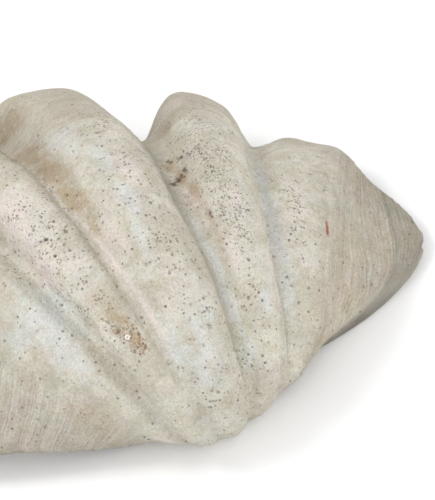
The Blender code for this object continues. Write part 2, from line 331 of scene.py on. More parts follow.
# Sharp creases at the foot of folds 2 and 3, and a low ridge on the left of fold 2.
# Each is a line of points, given by share of size and place
CREASE_BY_FOLD_2 = (
    (0.20, 9.95),
    (0.30, 9.97),
    (0.40, 10.02),
    (0.47, 9.97),
    (0.55, 9.90),
    (0.64, 9.93),
    (0.72, 9.96),
)
CREASE_BY_FOLD_3 = (
    (0.22, 12.33),
    (0.27, 12.28),
    (0.32, 12.15),
    (0.38, 12.04),
    (0.44, 11.94),
    (0.50, 11.86),
    (0.80, 11.84),
)
CREASE_ON_FOLD_2 = ((0.28, 8.34), (0.40, 8.42), (0.45, 8.36), (0.62, 8.28))
DEEPEST_CREASE = 0.0024
CREASES = ((DEEPEST_CREASE, CREASE_BY_FOLD_2), (0.0020, CREASE_BY_FOLD_3), (0.0008, CREASE_ON_FOLD_2))
STEEP_SIDE, SOFT_SIDE = 0.035, 0.10
BROW_ASIDE, BROW_SPREAD, BROW_SHARE = 0.11, 0.06, 0.45
RIDGE_HEIGHT, RIDGE_SPREAD = 0.0030, 0.075
RIDGE_STARTS, RIDGE_ENDS = (0.28, 0.36), (0.50, 0.62)
RIDGE_LINE = ((0.33, 8.16), (0.40, 8.22), (0.45, 8.16), (0.56, 8.08))
# Painted shade: a dark line laid into the colour along each crease
crease_painted_shade = np.zeros(size_grid.shape)
for depth, line in CREASES:
    stage, across_at = np.array(line).T
    aside = place_grid - np.interp(size_grid, stage, across_at)
    shown = smoothstep(stage[0], stage[0] + 0.06, size_grid)
    shown = shown * (1 - smoothstep(stage[-1] - 0.10, stage[-1], size_grid))
    relief -= depth * shown * np.exp(-abs(aside) / np.where(aside < 0, STEEP_SIDE, SOFT_SIDE))
    relief += BROW_SHARE * depth * shown * np.exp(-(((aside + BROW_ASIDE) / BROW_SPREAD) ** 2))
    crease_painted_shade = np.maximum(crease_painted_shade, shown * depth / DEEPEST_CREASE * np.exp(-((aside / 0.040) ** 2)))
stage, across_at = np.array(RIDGE_LINE).T
ridge = np.exp(-(((place_grid - np.interp(size_grid, stage, across_at)) / RIDGE_SPREAD) ** 2))
ridge = ridge * smoothstep(*RIDGE_STARTS, size_grid) * (1 - smoothstep(*RIDGE_ENDS, size_grid))
relief += RIDGE_HEIGHT * ridge
YOUNG_ROUGHNESS = 0.0014
relief += YOUNG_ROUGHNESS * young * soft_noise(smooth_rows, 0.008, 2.2)

# Deep borings, mostly on the backs of the folds: place, share of size, radius, depth
# The borings are painted dark inside as painted shade, darker the deeper they are
DARK_DEPTH = 0.0028  # a boring of this depth looks black inside
BORINGS = (
    (7.08, 0.574, 0.0040, 0.0030),
    (6.87, 0.577, 0.0026, 0.0022),
    (5.24, 0.467, 0.0032, 0.0020),
    (5.67, 0.526, 0.0026, 0.0018),
    (10.88, 0.602, 0.0022, 0.0018),
    (10.45, 0.599, 0.0022, 0.0018),
    (10.69, 0.687, 0.0022, 0.0016),
    (11.17, 0.696, 0.0022, 0.0016),
    (12.54, 0.609, 0.0024, 0.0016),
    (7.00, 0.543, 0.0038, 0.0024),
    (7.34, 0.533, 0.0034, 0.0020),
    (7.62, 0.377, 0.0045, 0.0020),
    (7.15, 0.400, 0.0045, 0.0020),
    (8.97, 0.530, 0.0034, 0.0018),
    (9.30, 0.515, 0.0034, 0.0018),
    (10.11, 0.546, 0.0034, 0.0018),
    (10.15, 0.681, 0.0050, 0.0020),
    (10.32, 0.640, 0.0050, 0.0020),
    (10.08, 0.606, 0.0045, 0.0018),
    (12.90, 0.700, 0.0034, 0.0016),
)
# Painted shade: each boring's mark darkens with its depth
bored_painted_shade = np.zeros(size_grid.shape)
for place, size, radius, depth in BORINGS:
    row, column = np.argmin(abs(sizes - size)), np.argmin(abs(places - place))
    away = np.linalg.norm(smooth_rows - smooth_rows[row, column], axis=2)
    hollow = np.exp(-((away / radius) ** 2))
    relief -= depth * hollow
    bored_painted_shade = np.maximum(bored_painted_shade, hollow * min(1.0, depth / DARK_DEPTH))

# The lip's edge is nibbled and chipped. Each chip has a place, a spread and a depth
rim_fade = smoothstep(0.965, 1.0, size_grid)
CHIPS = (
    (16.02, 0.05, 0.007),
    (15.7, 0.03, 0.003),
    (9.65, 0.045, 0.009),
    (9.52, 0.040, 0.004),
    (9.38, 0.030, 0.002),
    (9.24, 0.03, 0.003),
    (4.9, 0.07, 0.004),
)
NIBBLE, TORN = 0.0016, 0.0045
TORN_PLACE, TORN_SPREAD = 15.9, 0.35
nibble = NIBBLE * np.clip(soft_noise(smooth_rows, 0.012, 4.4), 0, 1)
nibble = nibble + NIBBLE * np.clip(soft_noise(smooth_rows, 0.028, 8.1), 0, 1)
torn_end = np.exp(-(((place_grid - TORN_PLACE) / TORN_SPREAD) ** 2))
nibble = nibble + TORN * torn_end * np.clip(soft_noise(smooth_rows, 0.008, 1.3), 0, 1)
for place, spread, depth in CHIPS:
    nibble = nibble + depth * np.exp(-(((place_grid - place) / spread) ** 2))
back = np.gradient(smooth_rows, axis=0)
back /= np.maximum(np.linalg.norm(back, axis=2, keepdims=True), 1e-9)
outer = smooth_rows + normals * relief[..., None] + back * (nibble * rim_fade)[..., None]

# Inside: the smooth porcelain lining. The wall is thin at the lip and thick
# towards the beak, and a broad hinge plate with two teeth runs along the hinge.
LIP = 0.014
LIP_ROUND = 0.004
WALL_AT_LIP = 0.012
WALL_DEEP = 0.026
THIN_BAND = 0.160  # from the lip to where the wall has its full thickness
THINNEST = 0.010
STEEPEST = 0.28  # upward share of the normal where the wall is hung steepest
FOLDED_BAND = (0.050, 0.170)  # from the lip, where the inside loses the folds
SMOOTH_INSET = 0.016
CREASE = 0.010
PLAN_CELL = 0.012
PLAN_BORDER = 0.048
FOLDED_BLUR, SMOOTH_BLUR = 2, 24
INSIDE_BLUR = 14
HOLLOW_CENTRE = (-0.020, 0.215)
RING_CROWDING = 1.35  # over 1, so the rings lie closer near the rim
PLATE_DEPTH = 0.062
PLATE_RECESS = 0.008
PLATE_LIP = 0.016
PLATE_RISE = 0.090
PLATE_HALF_WIDTH = 0.270
TEETH = ((-0.020, 0.130, 0.030, 0.0065), (0.045, 0.170, 0.052, 0.0060))  # from x, to x, depth, height
TOOTH_WIDTH = 0.010
TOOTH_END = 0.020
LEAST_WALL = 0.008


def skin_faces(row_count, column_count, start=0):
    """Faces between closed rings of points."""
    ring = start + np.arange(row_count)[:, None] * column_count + np.arange(column_count)[None]
    here, ahead = ring, np.roll(ring, -1, axis=1)
    return np.stack([here[:-1], ahead[:-1], ahead[1:], here[1:]], axis=-1).reshape(-1, 4)


def blurred(heights, known, passes):
    total, weight = np.where(known, heights, 0.0), known.astype(float)
    for _ in range(passes):
        for axis in (0, 1):
            total, weight = (
                0.25 * np.roll(grid, 1, axis) + 0.5 * grid + 0.25 * np.roll(grid, -1, axis)
                for grid in (total, weight)
            )
    return total / np.maximum(weight, 1e-6)


def read_grid(grid, low, plan):
    place = (plan - low) / PLAN_CELL
    cell = np.clip(np.floor(place).astype(int), 0, np.array(grid.shape) - 2)
    i, j = cell[..., 0], cell[..., 1]
    s, t = np.moveaxis(place - cell, -1, 0)
    near = grid[i, j] * (1 - t) + grid[i, j + 1] * t
    far = grid[i + 1, j] * (1 - t) + grid[i + 1, j + 1] * t
    return near * (1 - s) + far * s


def height_over(outside, x, y):
    place, _, _, _ = outside.ray_cast(Vector((x, y, 1)), Vector((0, 0, -1)))
    return place.z if place else None


def dome(rim, outside):
    low = rim[:, :2].min(axis=0) - PLAN_BORDER
    high = rim[:, :2].max(axis=0) + PLAN_BORDER
    cells = np.ceil((high - low) / PLAN_CELL).astype(int) + 1
    heights, known = np.zeros(cells), np.zeros(cells, bool)
    for cell in np.ndindex(*cells):
        height = height_over(outside, *(low + PLAN_CELL * np.array(cell)))
        known[cell] = height is not None
        heights[cell] = height or 0.0
    readers = []
    for passes in (FOLDED_BLUR, SMOOTH_BLUR):
        soft = blurred(heights, known, passes)
        slope = np.hypot(*np.gradient(soft, PLAN_CELL))
        readers.append((soft, 1 / np.hypot(1, slope)))
    return low, readers


def soft_lower(first, second):
    gap = np.clip(0.5 + 0.5 * (second - first) / CREASE, 0, 1)
    return second * (1 - gap) + first * gap - CREASE * gap * (1 - gap)


def hang_inside(rim, outside):
    """The inside of the shell, as rings from the rim to the middle of the hollow."""
    centre = np.array(HOLLOW_CENTRE)
    inward = centre - rim[:, :2]
    reach = np.linalg.norm(inward, axis=1)
    inward = inward / reach[:, None]
    steps = np.linspace(0, 1, INNER_ROWS + 1)[:-1] ** RING_CROWDING
    ring_reach = (reach - LIP)[None] * steps[:, None] + LIP
    plan = rim[None, :, :2] + inward[None] * ring_reach[..., None]
    low, ((_, folded_up), (smooth, smooth_up)) = dome(rim, outside)
    above = np.array([[height_over(outside, x, y) or 0.0 for x, y in ring] for ring in plan])
    lowest = above.copy()
    for step in range(1, 5):
        lowest = np.minimum(lowest, np.minimum(np.roll(above, step, 1), np.roll(above, -step, 1)))
    for _ in range(8):
        lowest = 0.5 * lowest + 0.25 * (np.roll(lowest, 1, 1) + np.roll(lowest, -1, 1))
    above = np.minimum(above, lowest)
    wall = WALL_AT_LIP + (WALL_DEEP - WALL_AT_LIP) * smoothstep(0, THIN_BAND, ring_reach)
    folded = above - wall / np.maximum(read_grid(folded_up, low, plan), STEEPEST)
    unfolded = read_grid(smooth, low, plan) - wall / np.maximum(read_grid(smooth_up, low, plan), STEEPEST)
    unfolded = unfolded - SMOOTH_INSET
    loses_folds = smoothstep(*FOLDED_BAND, ring_reach)
    under = soft_lower(folded + (unfolded - folded) * loses_folds, above - THINNEST)
    for _ in range(INSIDE_BLUR):
        under = 0.5 * under + 0.25 * (np.roll(under, 1, 1) + np.roll(under, -1, 1))
        under[1:-1] = 0.25 * under[:-2] + 0.5 * under[1:-1] + 0.25 * under[2:]
    under = np.minimum(under, above - THINNEST)

    at_hinge = 1 - smoothstep(0.5 * PLATE_HALF_WIDTH, PLATE_HALF_WIDTH, abs(rim[:, 0]))
    at_hinge = at_hinge * (rim[:, 1] < HOLLOW_CENTRE[1])
    plate = LIP + (PLATE_DEPTH - LIP) * at_hinge
    rise = LIP + (PLATE_RISE - LIP) * at_hinge
    shelf = rim[None, :, 2] + PLATE_RECESS * at_hinge * smoothstep(LIP, LIP + PLATE_LIP, ring_reach)
    for start, end, depth, height in TEETH:
        along = smoothstep(start, start + TOOTH_END, plan[..., 0])
        along = along - smoothstep(end - TOOTH_END, end, plan[..., 0])
        across = np.exp(-(((plan[..., 1] - rim[None, :, 1] - depth) / TOOTH_WIDTH) ** 2))
        shelf = shelf - height * along * across * at_hinge
    inside = shelf + (under - shelf) * smoothstep(plate, plate + rise, ring_reach)
    return np.concatenate([plan, inside[..., None]], axis=2)


def keep_wall(rings, skin, skin_normals):
    """Moves the inside in wherever it comes too near the outside, as in the groove tips."""
    kept = rings.reshape(-1, 3).copy()
    for index, point in enumerate(kept):
        nearest, _, face, _ = skin.find_nearest(Vector(point))
        away = skin_normals[face // PLACES, face % PLACES]
        depth = float(np.dot(np.array(nearest) - point, away))
        if depth < LEAST_WALL:
            kept[index] = point - away * (LEAST_WALL - depth)
    return kept.reshape(rings.shape)


smooth_faces = skin_faces(ROWS, PLACES)
outside, skin = (
    BVHTree.FromPolygons([Vector(point) for point in rows.reshape(-1, 3)], smooth_faces.tolist())
    for rows in (smooth_rows, outer)
)
rings = hang_inside(outer[0], outside)
for _ in range(3):
    rings = keep_wall(rings, skin, normals)
lip_edge = 0.5 * (outer[0] + rings[0])
lip_edge[:, 2] -= LIP_ROUND

points = np.concatenate(
    [
        outer.reshape(-1, 3),
        outer[-1].mean(axis=0)[None],
        lip_edge,
        rings.reshape(-1, 3),
        rings[-1].mean(axis=0)[None],
    ]
)
beak_tip = ROWS * PLACES
edge_start = beak_tip + 1
inner_start = edge_start + PLACES
pole = inner_start + INNER_ROWS * PLACES
column = np.arange(PLACES)
ahead = (column + 1) % PLACES
faces = smooth_faces.tolist()
last = (ROWS - 1) * PLACES
faces += [(last + here, last + there, beak_tip) for here, there in zip(column, ahead)]
faces += np.stack([ahead, column, edge_start + column, edge_start + ahead], axis=1).tolist()
faces += skin_faces(INNER_ROWS + 1, PLACES, edge_start)[:, ::-1].tolist()
last = inner_start + (INNER_ROWS - 1) * PLACES
faces += [(last + there, last + here, pole) for here, there in zip(column, ahead)]

# A small barnacle grown on to fold 1, a steep little cone with an open top, made of
# rings of a radius and a height
BARNACLE_PLACE, BARNACLE_SIZE = 7.29, 0.386
BARNACLE_FLOOR = 0.0006
BARNACLE_RIBS, BARNACLE_RIB_SHARE = 6, 0.10
BARNACLE_RINGS = ((0.0036, -0.0012), (0.0031, 0.0008), (0.0020, 0.0026), (0.0013, 0.0027), (0.0009, 0.0008))
BARNACLE_PLATES = 18
row, column_at = np.argmin(abs(sizes - BARNACLE_SIZE)), np.argmin(abs(places - BARNACLE_PLACE))
foot, up = outer[row, column_at], normals[row, column_at]
side = np.cross(up, (0.0, 0.0, 1.0))
side /= np.linalg.norm(side)
other = np.cross(up, side)
round_it = np.linspace(0, 2 * math.pi, BARNACLE_PLATES, endpoint=False)
barnacle_start = len(points)
for radius, height in BARNACLE_RINGS:
    ribbed = radius * (1 + BARNACLE_RIB_SHARE * np.cos(BARNACLE_RIBS * round_it))[:, None]
    away = np.cos(round_it)[:, None] * side + np.sin(round_it)[:, None] * other
    points = np.concatenate([points, foot + up * height + ribbed * away])
points = np.concatenate([points, (foot + up * BARNACLE_FLOOR)[None]])
faces += skin_faces(len(BARNACLE_RINGS), BARNACLE_PLATES, barnacle_start)[:, ::-1].tolist()
last = barnacle_start + (len(BARNACLE_RINGS) - 1) * BARNACLE_PLATES
for step in range(BARNACLE_PLATES):
    faces.append((last + (step + 1) % BARNACLE_PLATES, last + step, len(points) - 1))

middle = 0.5 * (points.min(axis=0) + points.max(axis=0))
points -= (middle[0], middle[1], 0.0)
box_low, box_high = (np.array(corner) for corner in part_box("clam_valve"))
points = np.clip(points, box_low, box_high)

mesh = bpy.data.meshes.new("valve")
mesh.from_pydata(points.tolist(), [], faces)
mesh.validate()
mesh.shade_smooth()
valve = bpy.data.objects.new("valve", mesh)
bpy.context.scene.collection.objects.link(valve)


# Markings, kept as soft spots and streaks on the points of the mesh
def keep_mark(name, outside_values, inside_value=0.0, barnacle_value=0.0):
    values = np.full(len(points), float(inside_value))
    values[barnacle_start:] = barnacle_value
    values[:beak_tip] = outside_values.reshape(-1)
    values[beak_tip] = values[beak_tip - 1]
    mesh.attributes.new(name, "FLOAT", "POINT").data.foreach_set("value", values.astype(np.float32))


# Each spot has a place, a share of size, how far it spreads in each, and a strength
TAN = (
    (11.50, 0.74, 0.13, 0.06, 0.30),
    (11.52, 0.62, 0.12, 0.07, 0.34),
    (11.55, 0.50, 0.11, 0.07, 0.34),
    (8.12, 0.74, 0.22, 0.05, 1.0),
    (8.16, 0.66, 0.20, 0.06, 1.0),
    (8.20, 0.58, 0.17, 0.05, 1.0),
    (8.22, 0.52, 0.12, 0.03, 0.6),
    (8.25, 0.92, 0.30, 0.05, 0.9),
    (7.75, 0.82, 0.35, 0.05, 0.8),
    (10.12, 0.66, 0.16, 0.03, 1.0),
    (10.24, 0.62, 0.14, 0.03, 0.9),
    (10.36, 0.58, 0.12, 0.03, 0.9),
    (10.22, 0.55, 0.14, 0.02, 0.7),
    (10.42, 0.52, 0.10, 0.03, 0.7),
    (10.35, 0.80, 0.15, 0.04, 0.6),
    (10.45, 0.47, 0.10, 0.04, 0.6),
    (7.35, 0.400, 0.30, 0.045, 0.9),
    (3.60, 0.33, 0.8, 0.07, 0.45),
    (15.6, 0.45, 0.5, 0.12, 0.5),
    (15.2, 0.30, 0.6, 0.06, 0.5),
    (15.4, 0.80, 0.5, 0.06, 0.4),
)
PORCELAIN = (
    (5.40, 0.50, 0.9, 0.09, 1.0),
    (5.90, 0.47, 0.5, 0.07, 0.9),
    (5.10, 0.42, 0.6, 0.06, 0.8),
    (4.50, 0.54, 0.6, 0.06, 0.7),
    (8.56, 0.73, 0.30, 0.05, 0.9),
    (8.94, 0.65, 0.20, 0.04, 0.8),
    (8.96, 0.56, 0.25, 0.04, 0.9),
    (8.80, 0.50, 0.20, 0.04, 0.8),
    (8.36, 0.33, 0.30, 0.05, 1.0),
    (8.70, 0.29, 0.40, 0.04, 0.8),
    (9.10, 0.33, 0.30, 0.06, 0.8),
    (9.45, 0.36, 0.25, 0.06, 0.7),
    (10.10, 0.47, 0.12, 0.05, 0.9),
    (10.18, 0.42, 0.15, 0.05, 1.0),
    (10.22, 0.36, 0.20, 0.05, 1.0),
    (10.30, 0.30, 0.25, 0.05, 0.8),
    (12.12, 0.66, 0.20, 0.06, 1.0),
    (12.20, 0.57, 0.28, 0.06, 1.0),
    (12.22, 0.47, 0.30, 0.07, 1.0),
    (12.40, 0.38, 0.30, 0.06, 0.9),
    (11.2, 0.38, 0.3, 0.05, 0.6),
)
PITTED = (
    (10.85, 0.80, 0.42, 0.05, 0.6),
    (10.80, 0.70, 0.36, 0.07, 0.9),
    (10.95, 0.58, 0.35, 0.07, 0.9),
    (10.95, 0.48, 0.35, 0.06, 0.5),
    (10.90, 0.36, 0.35, 0.06, 0.5),
    (7.00, 0.58, 0.8, 0.12, 0.85),
    (6.7, 0.46, 0.8, 0.10, 0.65),
    (7.3, 0.40, 0.4, 0.05, 1.0),
    (9.10, 0.74, 0.45, 0.05, 0.7),
    (9.35, 0.62, 0.5, 0.10, 0.55),
    (9.2, 0.48, 0.5, 0.08, 0.55),
    (9.2, 0.36, 0.6, 0.06, 0.55),
    (12.75, 0.63, 0.35, 0.05, 0.8),
    (12.95, 0.52, 0.4, 0.08, 0.45),
    (9.5, 0.26, 1.6, 0.05, 0.5),
)
PEPPERED = (
    (10.62, 0.73, 0.20, 0.04, 0.8),
    (10.72, 0.67, 0.28, 0.06, 1.0),
    (10.85, 0.60, 0.32, 0.06, 1.0),
    (10.98, 0.53, 0.30, 0.05, 1.0),
    (11.10, 0.68, 0.25, 0.06, 0.8),
    (10.80, 0.78, 0.25, 0.03, 0.5),
    (7.00, 0.60, 0.50, 0.05, 0.35),
    (7.30, 0.39, 0.25, 0.03, 0.6),
    (12.80, 0.62, 0.30, 0.05, 0.5),
)
SOOTY = (
    (10.18, 0.673, 0.07, 0.009, 1.0),
    (10.36, 0.675, 0.11, 0.009, 1.0),
    (10.50, 0.678, 0.06, 0.007, 0.9),
    (10.05, 0.602, 0.10, 0.009, 1.0),
    (10.16, 0.612, 0.09, 0.012, 1.0),
    (10.26, 0.621, 0.08, 0.012, 1.0),
    (10.36, 0.636, 0.06, 0.014, 1.0),
    (10.16, 0.567, 0.07, 0.010, 0.6),
    (10.28, 0.556, 0.07, 0.010, 0.6),
    (10.47, 0.531, 0.05, 0.014, 0.9),
    (9.60, 0.800, 0.10, 0.010, 0.7),
    (10.42, 0.830, 0.10, 0.012, 0.6),
    (9.30, 0.650, 0.22, 0.014, 0.6),
)
PINK = (
    (8.13, 0.46, 0.09, 0.09, 1.0),
    (8.22, 0.38, 0.09, 0.05, 1.0),
    (8.40, 0.51, 0.20, 0.04, 0.8),
    (9.27, 0.615, 0.25, 0.05, 0.9),
    (6.96, 0.64, 0.6, 0.07, 0.9),
    (6.40, 0.56, 0.6, 0.07, 0.8),
    (7.13, 0.52, 0.4, 0.04, 0.6),
    (10.25, 0.56, 0.20, 0.03, 1.0),
    (11.07, 0.567, 0.15, 0.03, 0.9),
    (10.63, 0.44, 0.25, 0.05, 0.8),
    (10.60, 0.90, 0.40, 0.06, 0.5),
)
RED_MARK = (
    (14.10, 0.588, 0.06, 0.013, 0.9),
    (14.15, 0.577, 0.08, 0.012, 1.0),
    (14.20, 0.566, 0.09, 0.012, 1.0),
)
RUST = (
    (7.18, 0.453, 0.11, 0.014, 1.0),
    (6.95, 0.428, 0.10, 0.010, 0.8),
    (7.06, 0.399, 0.14, 0.014, 1.0),
    (7.49, 0.365, 0.24, 0.020, 1.0),
    (7.45, 0.395, 0.20, 0.012, 0.8),
)

keep_mark("growth", growth)
keep_mark("side_growth", side_growth)
keep_mark("on_side", on_side)
keep_mark("fresh", fresh_tone * (0.35 + 0.65 * on_folds))
keep_mark("slope", slopes)
keep_mark("tan", patches(TAN))
keep_mark("porcelain", patches(PORCELAIN))
keep_mark("pitted", patches(PITTED) * (1 - 0.8 * fresh))
keep_mark("sooty", patches(SOOTY))
keep_mark("red_mark", patches(RED_MARK))
keep_mark("rust", patches(RUST))
keep_mark("young", young)
keep_mark("lining", np.zeros(size_grid.shape), 1.0)
keep_mark("barnacle", np.zeros(size_grid.shape), 0.0, 1.0)
# The pale pink along the low ridge of fold 2 is a painted highlight; the other pink patches are stains
keep_mark("pink_and_ridge_highlight", np.maximum(patches(PINK), 0.7 * ridge))
keep_mark("peppered", patches(PEPPERED))
keep_mark("crease_painted_shade", crease_painted_shade)
keep_mark("bored_painted_shade", bored_painted_shade)
# Painted light: a paler tone on the hinge side of the right end, where that band faces down into shade
HINGE_SIDE_STARTS, HINGE_SIDE_ENDS = (16.05, 16.5), (17.6, 18.0)
hinge_side_painted_light = smoothstep(*HINGE_SIDE_STARTS, place_grid) * (1 - smoothstep(*HINGE_SIDE_ENDS, place_grid))
keep_mark("hinge_side_painted_light", hinge_side_painted_light)

# The scar of the closing muscle, off the middle of the lining
SCAR_PLACE, SCAR_REACH = (0.045, -0.035), (0.075, 0.055)
from_scar = np.hypot(*((points[:, :2] - SCAR_PLACE) / SCAR_REACH).T)
scar = (1 - smoothstep(0.90, 1.02, from_scar)) * (np.arange(len(points)) >= inner_start)
scar[barnacle_start:] = 0.0
mesh.attributes.new("scar", "FLOAT", "POINT").data.foreach_set("value", scar.astype(np.float32))


# The finish: chalky lime with fine growth lines, borings and stains
def node(tree, kind, **settings):
    made = tree.nodes.new(kind)
    for name, value in settings.items():
        setattr(made, name, value)
    return made


def give(tree, socket, value):
    """Links the value to the socket if it comes from a node, or else sets it."""
    if isinstance(value, bpy.types.NodeSocket):
        tree.links.new(value, socket)
    else:
        socket.default_value = value


def feed(tree, target, **values):
    """Gives the named inputs of a node their values, with underscores for spaces."""
    for name, value in values.items():
        give(tree, target.inputs[name.replace("_", " ")], value)
    return target


def sums(tree, operation, first, second, clamp=False):
    made = node(tree, "ShaderNodeMath", operation=operation, use_clamp=clamp)
    for socket, value in zip(made.inputs, (first, second)):
        give(tree, socket, value)
    return made.outputs[0]


def span(tree, value, from_low, from_high, to_low=0.0, to_high=1.0):
    made = node(tree, "ShaderNodeMapRange", interpolation_type="SMOOTHSTEP")
    feed(tree, made, Value=value, From_Min=from_low, From_Max=from_high, To_Min=to_low, To_Max=to_high)
    return made.outputs[0]


def tint(tree, share, first, second, blend="MIX"):
    made = node(tree, "ShaderNodeMix", data_type="RGBA", blend_type=blend)
    for index, value in ((0, share), (6, first), (7, second)):
        give(tree, made.inputs[index], value)
    return made.outputs[2]


def noise(tree, place, scale, detail, roughness=0.5):
    made = node(tree, "ShaderNodeTexNoise")
    return feed(tree, made, Vector=place, Scale=scale, Detail=detail, Roughness=roughness).outputs


def group(name, inputs, outputs):
    tree = bpy.data.node_groups.new(name, "ShaderNodeTree")
    for label, kind, value in inputs:
        socket = tree.interface.new_socket(label, in_out="INPUT", socket_type=kind)
        if value is not None:
            socket.default_value = value
    for label in outputs:
        tree.interface.new_socket(label, in_out="OUTPUT", socket_type="NodeSocketFloat")
    return tree, tree.nodes.new("NodeGroupInput").outputs, tree.nodes.new("NodeGroupOutput")


NUMBER, VECTOR = "NodeSocketFloat", "NodeSocketVector"

# Fine lines, each a pause in growth, that run along the old margins
lines, given, result = group(
    "growth lines",
    [
        ("Place", VECTOR, None),
        ("Growth", NUMBER, 0.0),
        ("Spacing", NUMBER, 0.003),
        ("Wander", NUMBER, 0.004),
    ],
    ["Height"],
)
waver = noise(lines, given["Place"], scale=24.0, detail=4.0)[0]
waver = sums(lines, "MULTIPLY", sums(lines, "SUBTRACT", waver, 0.5), given["Wander"])
count = sums(lines, "DIVIDE", sums(lines, "ADD", given["Growth"], waver), given["Spacing"])
stripe = node(lines, "ShaderNodeTexNoise", noise_dimensions="1D")
feed(lines, stripe, W=count, Scale=1.0, Detail=3.0, Roughness=0.65)
lines.links.new(span(lines, stripe.outputs[0], 0.30, 0.70), result.inputs["Height"])

# Small ragged holes bored into the shell, in some of the cells of a random net
borings, given, result = group(
    "borings",
    [
        ("Place", VECTOR, None),
        ("Cell", NUMBER, 0.006),
        ("Radius", NUMBER, 0.25),
        ("Share", NUMBER, 0.5),
        ("Raggedness", NUMBER, 0.0016),
    ],
    ["Hole"],
)
scale = sums(borings, "DIVIDE", 1.0, given["Cell"])
bent = noise(borings, given["Place"], scale=420.0, detail=2.0)["Color"]
spread = node(borings, "ShaderNodeVectorMath", operation="SCALE")
give(borings, spread.inputs[0], bent)
give(borings, spread.inputs["Scale"], given["Raggedness"])
shaken = node(borings, "ShaderNodeVectorMath", operation="ADD")
give(borings, shaken.inputs[0], spread.outputs[0])
give(borings, shaken.inputs[1], given["Place"])
cells = feed(borings, node(borings, "ShaderNodeTexVoronoi"), Vector=shaken.outputs[0], Scale=scale)
pick = node(borings, "ShaderNodeSeparateColor")
borings.links.new(cells.outputs["Color"], pick.inputs[0])
width = sums(borings, "MULTIPLY", given["Radius"], sums(borings, "ADD", pick.outputs[1], 0.35))
edge = sums(borings, "SUBTRACT", width, cells.outputs["Distance"])
hole = span(borings, edge, 0.0, 0.12)
chosen = sums(borings, "LESS_THAN", pick.outputs[0], given["Share"])
strength = sums(borings, "ADD", sums(borings, "MULTIPLY", pick.outputs[2], 0.6), 0.4)
chosen_hole = sums(borings, "MULTIPLY", hole, chosen)
borings.links.new(sums(borings, "MULTIPLY", chosen_hole, strength), result.inputs["Hole"])

# A stain: a soft marking broken up by the grain of the surface
stain, given, result = group(
    "stain",
    [
        ("Place", VECTOR, None),
        ("Marking", NUMBER, 0.0),
        ("Grain", NUMBER, 60.0),
        ("Break", NUMBER, 0.5),
        ("Sparse", NUMBER, 0.0),
    ],
    ["Cover"],
)
speckle = noise(stain, given["Place"], scale=given["Grain"], detail=4.0, roughness=0.6)[0]
rough = sums(stain, "MULTIPLY", sums(stain, "SUBTRACT", speckle, 0.5), given["Break"])
broken = sums(stain, "MULTIPLY", rough, sums(stain, "ADD", given["Marking"], 0.2))
cover = sums(stain, "ADD", given["Marking"], broken)
cover = sums(stain, "SUBTRACT", cover, given["Sparse"])
stain.links.new(span(stain, cover, 0.12, 0.9), result.inputs["Cover"])


def place_group(tree, which, **values):
    made = node(tree, "ShaderNodeGroup", node_tree=which)
    return feed(tree, made, **values).outputs[0]


CHALK = (0.500, 0.465, 0.390, 1)
PALE = (0.575, 0.550, 0.485, 1)
BEIGE = (0.430, 0.380, 0.295, 1)
BLUISH = (0.590, 0.606, 0.588, 1)
TAN_STAIN = (0.360, 0.255, 0.145, 1)
LINE_TONE = (0.325, 0.272, 0.202, 1)
SOOT = (0.095, 0.062, 0.042, 1)
HOLE = (0.115, 0.092, 0.070, 1)
BROWN_HOLE = (0.200, 0.140, 0.090, 1)
RUSTY = (0.235, 0.115, 0.050, 1)
RED_BROWN = (0.270, 0.075, 0.040, 1)
LINING = (0.680, 0.660, 0.600, 1)
PINKISH = (0.640, 0.575, 0.535, 1)
CREASE_PAINTED_SHADE = (0.300, 0.275, 0.225, 1)
PIT_BLACK = (0.060, 0.045, 0.032, 1)
HINGE_PAINTED_LIGHT = (0.680, 0.630, 0.540, 1)
SCAR_TONE = (0.560, 0.525, 0.450, 1)
BARNACLE_WHITE = (0.720, 0.700, 0.640, 1)

shell = bpy.data.materials.new("weathered_shell_surface")
shell.use_nodes = True
tree = shell.node_tree
skin = tree.nodes["Principled BSDF"]
place = node(tree, "ShaderNodeTexCoord").outputs["Object"]


def mark(name):
    return node(tree, "ShaderNodeAttribute", attribute_name=name).outputs["Fac"]


def growth_lines(spacing, wander):
    """Lines along the margin, which turn with the growth layers on the right slope."""
    made = dict(Place=place, Spacing=spacing, Wander=wander)
    ahead = place_group(tree, lines, Growth=mark("growth"), **made)
    aside = place_group(tree, lines, Growth=mark("side_growth"), **made)
    turned = node(tree, "ShaderNodeMix", data_type="FLOAT")
    for index, value in ((0, mark("on_side")), (2, ahead), (3, aside)):
        give(tree, turned.inputs[index], value)
    return turned.outputs[0]


def times(first, second):
    return sums(tree, "MULTIPLY", first, second)


def plus(first, second):
    return sums(tree, "ADD", first, second)


def rest_of(value):
    return sums(tree, "SUBTRACT", 1.0, value)


def wash(colour, cover, strength, tone):
    """Lays a tone over the colour, as strongly as the cover and the strength say."""
    return tint(tree, times(cover, strength), colour, tone)


def stained(name, grain, breaking, sparse=0.0):
    made = dict(Place=place, Marking=mark(name), Grain=grain, Break=breaking, Sparse=sparse)
    return place_group(tree, stain, **made)


def holes_of(cell, radius, share, ragged):
    made = dict(Place=place, Cell=cell, Radius=radius, Share=share, Raggedness=ragged)
    return place_group(tree, borings, **made)


fine_lines = growth_lines(spacing=0.0034, wander=0.015)
broad_lines = growth_lines(spacing=0.0095, wander=0.026)
bands = growth_lines(spacing=0.030, wander=0.040)
line_strength = times(mark("slope"), 0.85)
line_strength = plus(line_strength, times(mark("fresh"), 0.50))
line_strength = sums(tree, "ADD", line_strength, 0.12, clamp=True)
mottle = noise(tree, place, scale=16.0, detail=6.0, roughness=0.65)[0]
blotch = noise(tree, place, scale=75.0, detail=4.0, roughness=0.6)[0]
clouds = noise(tree, place, scale=30.0, detail=4.0, roughness=0.6)
dents = noise(tree, place, scale=70.0, detail=2.5, roughness=0.55)[0]
grit = noise(tree, place, scale=380.0, detail=3.0, roughness=0.75)[0]

